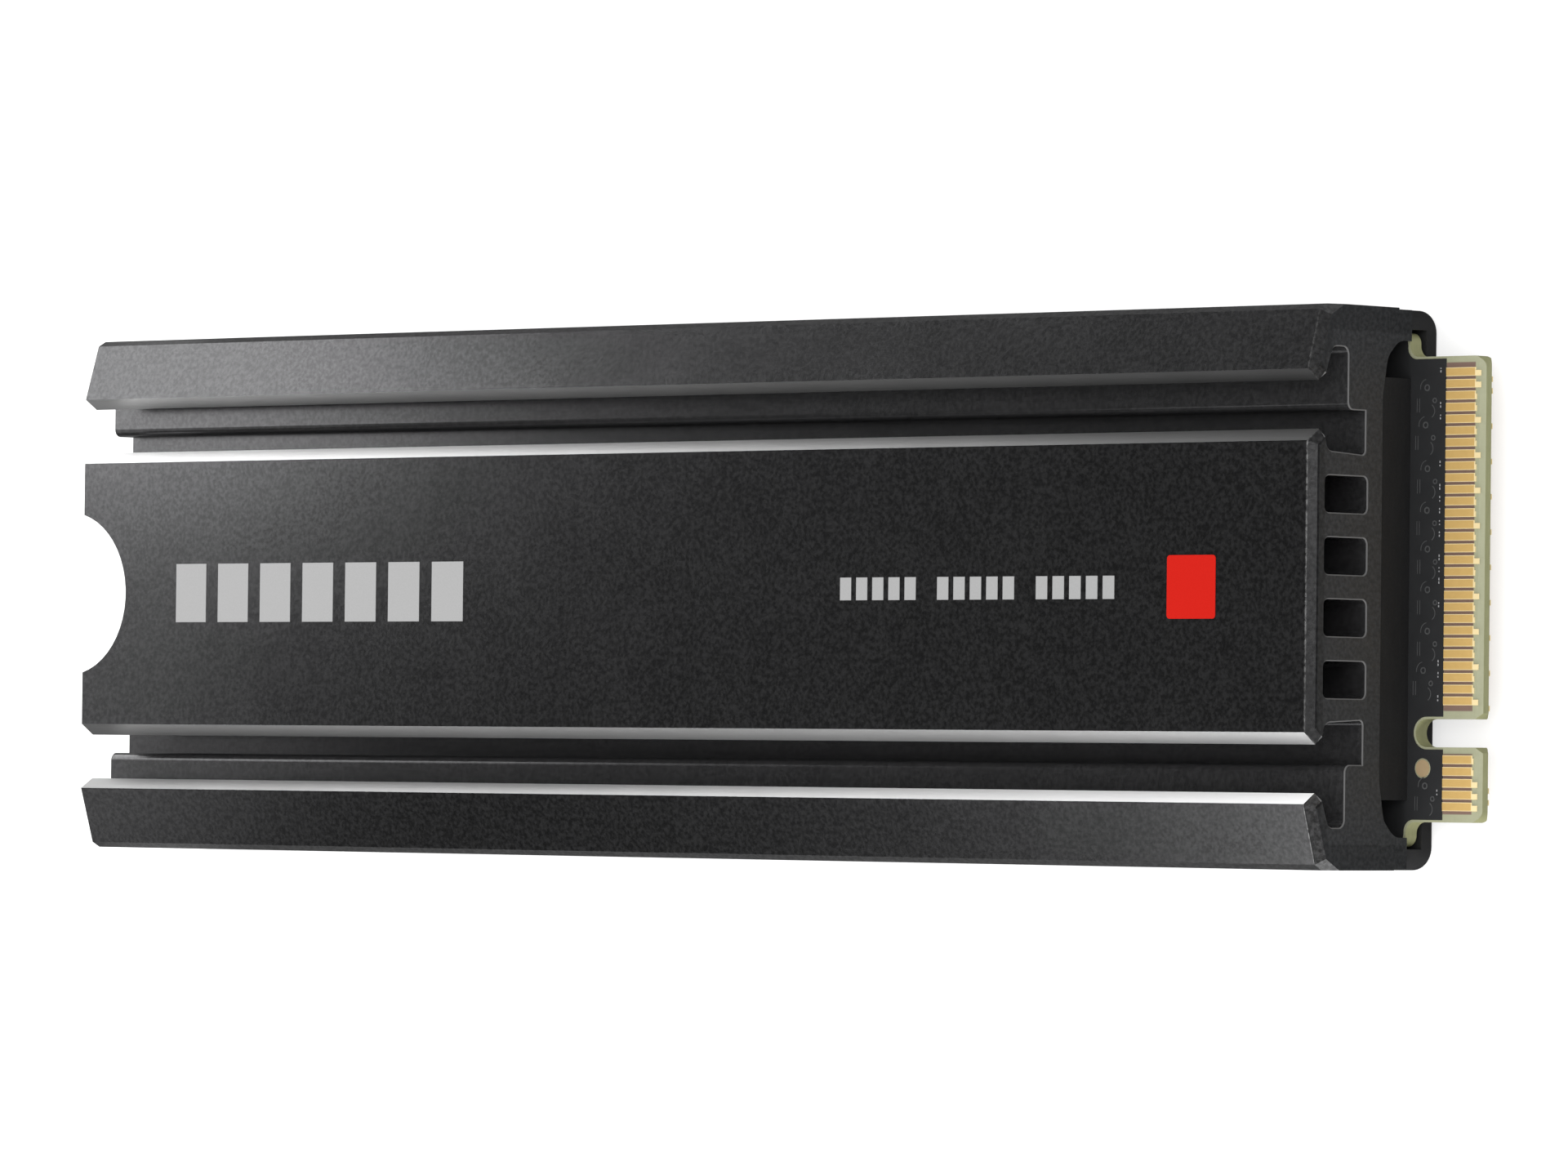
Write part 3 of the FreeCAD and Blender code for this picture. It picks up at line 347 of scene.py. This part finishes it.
def label_film():
    """Dark satin film with a fine pressed texture."""
    finish = Finish("label_film", (0.06, 0.06, 0.063), 0.5)
    finish.bump(finish.cells(0.22 * MM), 0.15, 0.01 * MM)
    mottle = finish.noise(2.0 * MM, detail=3.0)
    finish.use("Base Color", finish.blend(mottle, (0.050, 0.050, 0.053), (0.068, 0.068, 0.072)))
    finish.use("Roughness", finish.contrast(mottle, 0.46, 0.56))
    return finish.material


def thermal_pad():
    """Soft filler: matt, faintly streaked along the cut."""
    finish = Finish("thermal_pad", (0.012, 0.012, 0.0125), 0.75, ior=1.4)
    streak = finish.noise(0.25 * MM, detail=3.0, source=finish.stretch(1.0, 0.15, 1.0))
    pores = finish.noise(0.12 * MM)
    finish.bump(streak, 0.25, 0.015 * MM)
    finish.bump(pores, 0.2, 0.01 * MM)
    finish.use("Base Color", finish.blend(streak, (0.0085, 0.0085, 0.009), (0.014, 0.014, 0.0145)))
    finish.use("Roughness", finish.contrast(pores, 0.68, 0.82))
    return finish.material


def contact_bed_mask(finish):
    """The bare strips that the front contacts lie on, one each side of the key notch."""
    soft = 0.02 * MM
    across = finish.axis("Y")
    lengthwise = finish.between(finish.axis("X"), mask_high.x, contact_tip_x - 0.03 * MM, soft)
    upper = finish.between(across, KEY_CENTRE_Y + 0.94 * MM, contacts_high.y + 0.22 * MM, soft)
    lower = finish.between(across, contacts_low.y - 0.14 * MM, KEY_CENTRE_Y - 0.88 * MM, soft)
    return finish.times(lengthwise, finish.math("ADD", upper, lower, clamp=True))


def laminate():
    """Bare glass-epoxy: pale on its faces, olive on its cut walls, brown under the contacts."""
    finish = Finish("laminate", (0.45, 0.47, 0.27), 0.5)
    facing = finish.math("ABSOLUTE", finish.axis("Z", finish.geometry("True Normal")))
    face = finish.above(facing, 0.1, 0.8)
    weft = finish.noise(0.16 * MM, detail=1.0, source=finish.stretch(1.0, 0.2, 1.0))
    warp = finish.noise(0.16 * MM, detail=1.0, source=finish.stretch(0.2, 1.0, 1.0))
    weave = finish.times(finish.math("ADD", weft, warp), 0.5)
    pale = finish.blend(weave, (0.265, 0.270, 0.175), (0.325, 0.330, 0.220))
    layers = finish.noise(0.06 * MM, source=finish.stretch(0.1, 0.1, 1.0))
    wall = finish.blend(layers, (0.180, 0.182, 0.088), (0.250, 0.252, 0.130))
    bed = finish.times(contact_bed_mask(finish), face)
    finish.use("Base Color", finish.blend(bed, finish.blend(face, wall, pale), (0.165, 0.105, 0.082)))
    finish.use("Roughness", finish.contrast(weave, 0.42, 0.56))
    finish.bump(weave, 0.2, 0.01 * MM)
    return finish.material


def solder_mask():
    """Thin black lacquer over copper: semi-gloss with a soft unevenness."""
    finish = Finish("solder_mask", (0.012, 0.0125, 0.013), 0.36)
    copper = finish.noise(0.9 * MM, detail=3.0, roughness=0.6)
    speck = finish.noise(0.07 * MM)
    finish.bump(copper, 0.25, 0.015 * MM)
    finish.bump(speck, 0.18, 0.006 * MM)
    finish.use("Base Color", finish.blend(copper, (0.0165, 0.0170, 0.0180), (0.0240, 0.0245, 0.0255)))
    finish.use("Roughness", finish.contrast(speck, 0.33, 0.45))
    return finish.material


def wiped_metal(name, low, high, rough_low, rough_high, metallic):
    """Metal with a mild mottle between two colours, and fine wipe marks. Returns its finish and colour."""
    finish = Finish(name, low, rough_low, metallic=metallic)
    mottle = finish.noise(0.35 * MM, detail=3.0)
    wipes = finish.noise(0.05 * MM, source=finish.stretch(0.2, 1.0, 1.0))
    finish.use("Roughness", finish.contrast(wipes, rough_low, rough_high))
    finish.bump(wipes, 0.15, 0.003 * MM)
    return finish, finish.blend(mottle, low, high)


def plated(name, low, high, rough_low, rough_high, metallic=1.0):
    finish, color = wiped_metal(name, low, high, rough_low, rough_high, metallic)
    finish.use("Base Color", color)
    return finish.material


def contact_gold(name, edge_y):
    """Plated contacts with a painted highlight along their rims, which repeat at the contacts' pitch from the
    row's edge.
    """
    finish, gold = wiped_metal(name, (0.76, 0.49, 0.165), (0.84, 0.56, 0.205), 0.30, 0.42, 1.0)
    from_first = finish.math("SUBTRACT", finish.axis("Y"), edge_y - CONTACT_WIDTH / 2)
    steps = finish.math("ADD", finish.math("DIVIDE", from_first, CONTACT_PITCH), 0.5)
    from_centre = finish.math("ABSOLUTE", finish.math("SUBTRACT", finish.math("FRACT", steps), 0.5))
    side_rim_highlight = finish.above(from_centre, 0.30, 0.34)
    end_rim_highlight = finish.above(finish.axis("X"), contact_tip_x - 0.05 * MM, contact_tip_x - 0.03 * MM)
    rim_highlight = finish.larger(side_rim_highlight, end_rim_highlight)
    # The rims are painted paler and less metallic: a painted highlight on the contacts' edges.
    finish.use("Base Color", finish.blend(rim_highlight, gold, (0.93, 0.76, 0.42)))
    finish.use("Metallic", finish.spread(rim_highlight, 0.0, 1.0, 0.45, 0.30))
    return finish.material


def moulded(name, low, high, rough_low, rough_high):
    """Moulded or fired material: fine pits and a slight mottle."""
    finish = Finish(name, low, rough_low)
    pits = finish.noise(0.09 * MM, detail=3.0, roughness=0.6)
    mottle = finish.noise(1.2 * MM)
    finish.use("Base Color", finish.blend(mottle, low, high))
    finish.use("Roughness", finish.contrast(pits, rough_low, rough_high))
    finish.bump(pits, 0.3, 0.01 * MM)
    return finish.material


def ink(name, low, high):
    """Flat printed ink that lets a little of the grain under it through."""
    finish = Finish(name, low, 0.55, ior=1.4)
    finish.use("Specular IOR Level", 0.08)
    grain = finish.noise(0.085 * MM, detail=3.0, roughness=0.65)
    finish.use("Base Color", finish.blend(grain, low, high))
    finish.use("Roughness", finish.contrast(grain, 0.5, 0.62))
    finish.bump(grain, 0.2, 0.008 * MM)
    return finish.material


SLOT_MATERIALS = {
    "anodised_aluminium": anodised_aluminium(),
    "coated_cover": coated_cover(),
    "label_film": label_film(),
    "thermal_pad": thermal_pad(),
    "laminate": laminate(),
    "solder_mask": solder_mask(),
    "gold_plating": contact_gold("gold_plating", contacts_high.y),
    "bare_copper": plated("bare_copper", (0.50, 0.36, 0.20), (0.60, 0.45, 0.27), 0.36, 0.48, metallic=0.45),
    "nickel": plated("nickel", (0.55, 0.54, 0.51), (0.63, 0.62, 0.60), 0.28, 0.38),
    "solder": plated("solder", (0.56, 0.57, 0.58), (0.66, 0.67, 0.68), 0.30, 0.42),
    "tinned_ends": plated("tinned_ends", (0.60, 0.60, 0.59), (0.70, 0.70, 0.68), 0.34, 0.46),
    "mould_compound": moulded("mould_compound", (0.016, 0.016, 0.017), (0.026, 0.026, 0.027), 0.55, 0.70),
    "package_substrate": moulded("package_substrate", (0.02, 0.05, 0.03), (0.03, 0.07, 0.04), 0.45, 0.60),
    "capacitor_ceramic": moulded("capacitor_ceramic", (0.33, 0.22, 0.14), (0.42, 0.29, 0.19), 0.50, 0.65),
    "dark_ceramic": moulded("dark_ceramic", (0.03, 0.03, 0.033), (0.05, 0.05, 0.055), 0.45, 0.60),
    "grey_ink": ink("grey_ink", grey(0.22), grey(0.26)),
    "red_ink": ink("red_ink", (0.350, 0.005, 0.001), (0.400, 0.007, 0.003)),
}

# The rear contacts lie half a pitch off the front ones, so their rims need a material of their own.
NODE_MATERIALS = {"rear_edge_contacts": contact_gold("rear_gold_plating", rear_contacts_high.y)}

for entry in frame["record"]["subparts"]:
    material = NODE_MATERIALS.get(entry["node"], SLOT_MATERIALS[entry["material_slot"]])
    for material_slot in frame["nodes"][entry["node"]].material_slots:
        material_slot.material = material


# ---------------------------------------------------------------- fine pieces

# The thin pieces start this far inside the surface they lie on.
ROOTED = 0.004 * MM
ARC_STEPS = 14
RING_STEPS = 20


def arc(centre, radius, start, stop, steps):
    """Points along an arc, with its angles in degrees."""
    angles = [math.radians(start + (stop - start) * step / steps) for step in range(steps + 1)]
    return [(centre[0] + radius * math.cos(angle), centre[1] + radius * math.sin(angle)) for angle in angles]


def add_strip(shape, left, right, low, high, closed=False):
    """Adds a thin solid strip between two edges: a trace when it is open, a ring when it is closed."""
    rows = [
        [shape.verts.new((*point, level)) for point, level in ((a, low), (a, high), (b, high), (b, low))]
        for a, b in zip(left, right)
    ]
    for index in range(len(rows) if closed else len(rows) - 1):
        this, following = rows[index], rows[(index + 1) % len(rows)]
        for corner in range(4):
            after = (corner + 1) % 4
            shape.faces.new((this[corner], following[corner], following[after], this[after]))
    if not closed:
        shape.faces.new(rows[0])
        shape.faces.new(rows[-1][::-1])


def add_block(shape, x_low, x_high, y_low, y_high, low, high):
    add_strip(shape, [(x_low, y_low), (x_high, y_low)], [(x_low, y_high), (x_high, y_high)], low, high)


def add_trace(shape, centre, radius, width, start, stop, low, high):
    edges = [arc(centre, radius + side * width / 2, start, stop, ARC_STEPS) for side in (1, -1)]
    add_strip(shape, *edges, low, high)


def add_ring(shape, centre, outer, inner, low, high):
    edges = [arc(centre, radius, 0.0, 360.0, RING_STEPS)[:-1] for radius in (outer, inner)]
    add_strip(shape, *edges, low, high, closed=True)


def make_piece(name, shape, material):
    bmesh.ops.recalc_face_normals(shape, faces=shape.faces)
    mesh = bpy.data.meshes.new(name)
    shape.to_mesh(mesh)
    shape.free()
    mesh.materials.append(material)
    piece = bpy.data.objects.new(name, mesh)
    bpy.context.scene.collection.objects.link(piece)
    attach(piece, "root")


def clear_of_notch(y):
    """True where the lacquer beside the contacts is whole, away from the key notch and the probe pad."""
    return y > KEY_CENTRE_Y + 1.3 * MM or y < KEY_CENTRE_Y - 2.2 * MM


def make_lacquered_copper():
    """Vias, short runs and turns of copper that stand up a little under the lacquer beside the contacts."""
    low, high = mask_high.z - ROOTED, mask_high.z + 0.010 * MM
    column_x = mask_high.x - 1.0 * MM
    first_y, last_y = 8.6 * MM, -9.0 * MM
    shape = bmesh.new()
    y = first_y
    while y > last_y:
        if clear_of_notch(y):
            # A via with a turn round it, a smaller via, two short runs side by side, and a bend.
            x = column_x + random.uniform(-0.15, 0.15) * MM
            add_ring(shape, (x, y), 0.15 * MM, 0.09 * MM, low, high)
            add_trace(shape, (x, y), 0.36 * MM, 0.035 * MM, 100.0, 190.0, low, high)
            add_ring(shape, (x + 0.42 * MM, y - 0.55 * MM), 0.12 * MM, 0.07 * MM, low, high)
            for offset in (0.0, 0.13 * MM):
                run_x = x - 0.55 * MM + offset
                add_block(shape, run_x, run_x + 0.03 * MM, y - 1.05 * MM, y - 0.45 * MM, low, high)
            add_trace(shape, (x + 0.12 * MM, y - 1.0 * MM), 0.30 * MM, 0.04 * MM, 60.0, -60.0, low, high)
        y -= random.uniform(1.5, 1.9) * MM
    # The copper is painted paler than the lacquer around it, partly for the copper beneath and partly as a
    # painted highlight where the raised runs catch the light.
    copper = moulded("lacquered_copper_and_highlight", (0.050, 0.051, 0.052), (0.075, 0.076, 0.077), 0.30, 0.42)
    make_piece("lacquered_copper_and_highlight", shape, copper)


def make_mask_ticks():
    """A column of short pale ticks along the lacquer's edge, two by two between the contacts."""
    low, high = mask_high.z - ROOTED, mask_high.z + 0.008 * MM
    tick_x = mask_high.x - 0.32 * MM
    tick_width = 0.05 * MM
    share_of_gaps = 0.6
    gaps = int((contacts_high.y - contacts_low.y) / CONTACT_PITCH)
    shape = bmesh.new()
    for index in range(gaps):
        y = contacts_high.y - (index + 0.5) * CONTACT_PITCH
        if clear_of_notch(y) and random.random() < share_of_gaps:
            for offset in (0.05 * MM, 0.20 * MM):
                length = random.uniform(0.05, 0.11) * MM
                add_block(shape, tick_x, tick_x + tick_width, y + offset, y + offset + length, low, high)
    make_piece("mask_ticks", shape, ink("tick_ink", (0.22, 0.22, 0.225), (0.34, 0.34, 0.345)))


def make_label_print():
    """Plain dashes in lines, and a row of upright bars, on the label under the drive."""
    low, high = label_low.z - 0.012 * MM, label_low.z + ROOTED
    shape = bmesh.new()

    # Six lines of dashes on the far half, every other line shorter.
    dash_height, dash_gap, line_pitch = 0.9 * MM, 0.6 * MM, 2.1 * MM
    for line in range(6):
        y = 5.6 * MM - line * line_pitch
        x = label_low.x + 3.0 * MM
        line_end = -1.0 * MM - line % 2 * 4.0 * MM
        while x < line_end:
            length = random.uniform(0.8, 3.4) * MM
            add_block(shape, x, x + length, y, y + dash_height, low, high)
            x += length + dash_gap

    # Upright bars on the near half, over three plain lines.
    near_x = 6.0 * MM
    x = near_x
    while x < label_high.x - 4.0 * MM:
        width = random.choice((0.2, 0.4, 0.6)) * MM
        add_block(shape, x, x + width, -1.5 * MM, 5.5 * MM, low, high)
        x += width + random.choice((0.25, 0.5)) * MM
    for row in range(3):
        y = -6.0 * MM + row * 1.3 * MM
        add_block(shape, near_x, (22.0 - row * 3.0) * MM, y, y + 0.7 * MM, low, high)
    make_piece("label_print", shape, SLOT_MATERIALS["grey_ink"])


make_lacquered_copper()
make_mask_ticks()
make_label_print()

# ---------------------------------------------------------------- stage, lights and camera

FLOOR_HALF = 4.0
FLOOR_GAP = 0.02 * MM
WHITE = (1.0, 1.0, 1.0, 1.0)


def make_floor():
    """A wide pale floor under the drive, clear when seen from below so that it doesn't hide the label."""
    mesh = bpy.data.meshes.new("floor")
    corners = [(x * FLOOR_HALF, y * FLOOR_HALF, cad_low.z - FLOOR_GAP)
               for x, y in ((-1, -1), (1, -1), (1, 1), (-1, 1))]
    mesh.from_pydata(corners, [], [(0, 1, 2, 3)])
    floor = bpy.data.objects.new("floor", mesh)
    bpy.context.scene.collection.objects.link(floor)
    finish = Finish("floor", grey(0.45), 0.85, ior=1.3)
    finish.use("Base Color", finish.blend(finish.noise(0.4), grey(0.44), grey(0.46)))
    finish.use("Emission Color", WHITE)
    finish.use("Emission Strength", 0.6)
    finish.use("Alpha", finish.inverse(finish.geometry("Backfacing")))
    mesh.materials.append(finish.material)
    floor.visible_glossy = False


def add_softbox(name, place, aim, width, height, power):
    """A soft rectangular lamp that faces a point."""
    lamp = bpy.data.lights.new(name, "AREA")
    lamp.shape = "RECTANGLE"
    lamp.size = width
    lamp.size_y = height
    lamp.energy = power
    item = bpy.data.objects.new(name, lamp)
    item.location = place
    item.rotation_mode = "QUATERNION"
    item.rotation_quaternion = (Vector(aim) - Vector(place)).to_track_quat("-Z", "Y")
    item.visible_camera = False
    bpy.context.scene.collection.objects.link(item)


# Each softbox: its place, its width and height, and its power in watts. All face the middle of the drive.
LAMP_AIM = (0.000, 0.000, 0.008)
LAMPS = {
    "overhead": ((0.150, 0.000, 1.500), 1.200, 1.200, 3.4),
    "near_front": ((0.300, 0.100, 0.340), 0.120, 0.120, 0.25),
    "far_end_glow": ((-0.093, 0.031, 0.045), 0.047, 0.065, 0.0228),
    "far_end_fill": ((-0.074, 0.007, 0.039), 0.088, 0.019, 0.0034),
    "far_side_glint": ((-0.095, 0.103, 0.036), 0.070, 0.050, 0.156),
    "low_side_glow": ((0.000, -0.060, 0.061), 0.050, 0.050, 0.0189),
    "low_side_glint": ((0.030, -0.130, 0.035), 0.080, 0.040, 0.168),
    "top_fill": ((-0.020, -0.030, 0.060), 0.020, 0.020, 0.0014),
}

# Glowing strips that lie on the table and face up, so the upright sides have something to reflect.
TABLE_STRIPS = {
    "upper_table_strip": ((0.000, 0.040, 0.0005), 0.100, 0.050, 0.0055),
    "lower_table_strip": ((0.000, -0.040, 0.0005), 0.100, 0.050, 0.0065),
    "far_table_strip": ((-0.068, 0.000, 0.0005), 0.050, 0.050, 0.0035),
}

SKY_STRENGTH = 1.25


def make_lights():
    """An even white sky lights the floor, and small soft lamps close to the drive draw its highlights."""
    world = bpy.data.worlds.new("studio")
    world.use_nodes = True
    background = world.node_tree.nodes["Background"]
    background.inputs["Color"].default_value = WHITE
    background.inputs["Strength"].default_value = SKY_STRENGTH
    world.cycles_visibility.glossy = False
    bpy.context.scene.world = world
    for name, (place, width, height, power) in LAMPS.items():
        add_softbox(name, place, LAMP_AIM, width, height, power)
    for name, (place, width, height, power) in TABLE_STRIPS.items():
        straight_up = (place[0], place[1], 1.0)
        add_softbox(name, place, straight_up, width, height, power)


CAMERA_PLACE = Vector((0.29418, -0.00815, 0.32412))
CAMERA_AIM = Vector((0.00594, 0.00006, 0.0083))
CAMERA_ROLL = math.radians(0.64)
CAMERA_LENS = 221.7
CAMERA_SENSOR = 36.0


def make_camera():
    """The picture's top edge follows the drive's +Y side, and the lens is long."""
    camera = bpy.data.objects.new("camera", bpy.data.cameras.new("camera"))
    camera.data.lens = CAMERA_LENS
    camera.data.sensor_width = CAMERA_SENSOR
    camera.data.clip_start = 0.01
    camera.data.clip_end = 50.0
    forward = (CAMERA_AIM - CAMERA_PLACE).normalized()
    right = forward.cross(Vector((0, 1, 0))).normalized()
    up = right.cross(forward)
    turn = Matrix((right, up, -forward)).transposed() @ Matrix.Rotation(CAMERA_ROLL, 3, "Z")
    camera.rotation_mode = "QUATERNION"
    camera.rotation_quaternion = turn.to_quaternion()
    camera.location = CAMERA_PLACE
    bpy.context.scene.collection.objects.link(camera)
    bpy.context.scene.camera = camera


bpy.context.scene.view_settings.view_transform = "Standard"
make_floor()
make_lights()
make_camera()
